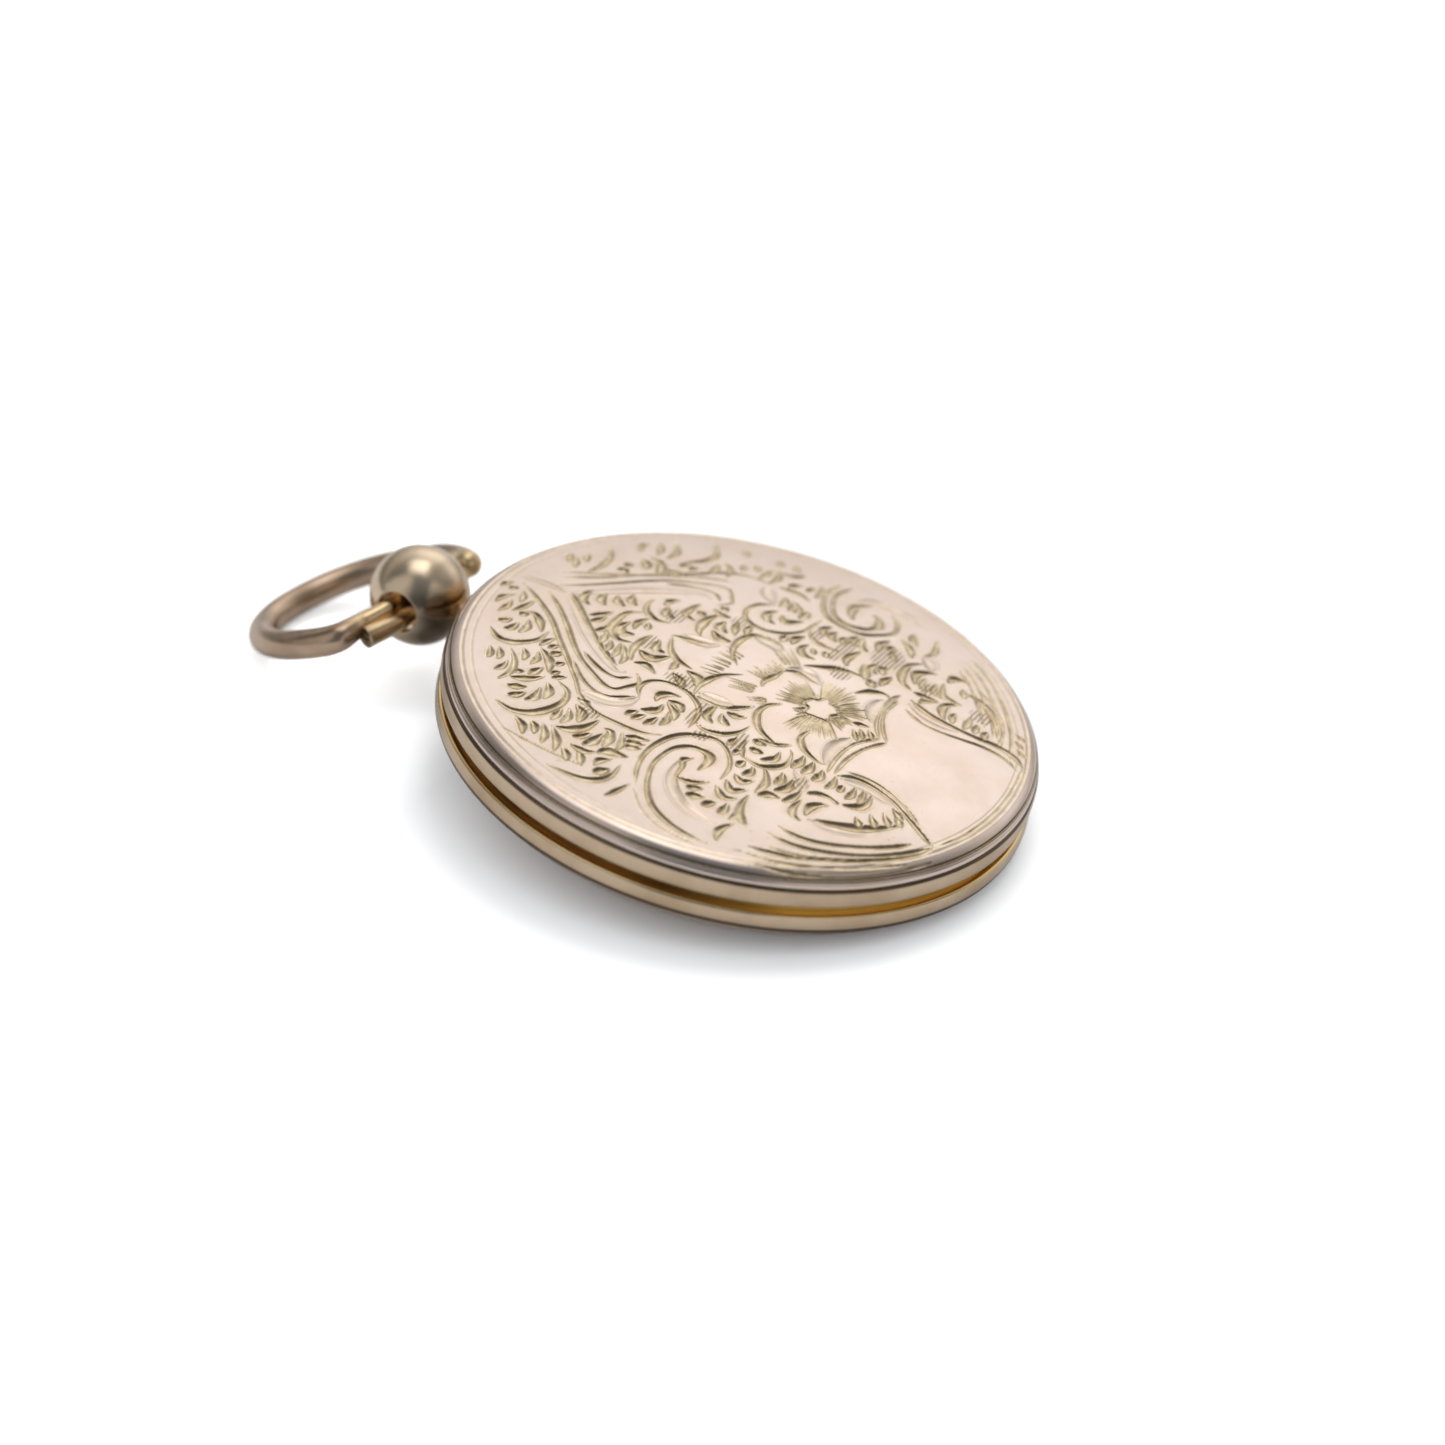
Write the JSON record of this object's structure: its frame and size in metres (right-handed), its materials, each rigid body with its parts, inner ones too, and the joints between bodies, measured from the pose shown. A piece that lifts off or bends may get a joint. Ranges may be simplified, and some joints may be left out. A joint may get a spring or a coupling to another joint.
{
  "type": "locket",
  "caption": "Round hinged locket with domed faces, framed picture recesses, a ball pendant and a swinging wire bow.",
  "frame": {"origin": "middle of the small flat on the back face, where the closed locket rests", "axes": "+Z out of the front face, +Y from the middle towards the pendant and bow, +X towards the hinge"},
  "size_m": [0.035, 0.0474, 0.0109],
  "materials": {
    "gold_plate": "polished",
    "gold_band": "polished",
    "gold_inside": "satin",
    "card": "matt",
    "glazing": "clear",
    "pin_metal": "satin",
    "pendant_gold": "polished",
    "bow_gold": "polished"
  },
  "bodies": {
    "back": {"back_dome": "gold_plate", "back_rim": "gold_band", "closing_flange": "gold_inside", "back_lining": "gold_inside", "back_picture_card": "card", "back_glazing": "glazing", "back_bezel": "gold_inside", "back_hinge_knuckle_top": "gold_band", "back_hinge_knuckle_bottom": "gold_band", "hinge_pin": "pin_metal", "pendant_neck": "pendant_gold", "pendant_stem": "pendant_gold", "pendant_ball": "pendant_gold"},
    "front": {"front_dome": "gold_plate", "front_rim": "gold_band", "front_lining": "gold_inside", "front_picture_card": "card", "front_glazing": "glazing", "front_bezel": "gold_inside", "front_hinge_knuckle": "gold_band"},
    "bow": {"bow_ring": "bow_gold"}
  },
  "joints": [
    {"name": "cover_hinge", "type": "hinge", "parent": "back", "child": "front", "pos_m": [0.0173, 0, 0.0034], "axis": [0, 1, 0], "range_deg": [0, 180]},
    {"name": "bow_swing", "type": "hinge", "parent": "back", "child": "bow", "pos_m": [0, 0.0208, 0.00221], "axis": [1, 0, 0], "range_deg": [-120, 162]}
  ]
}
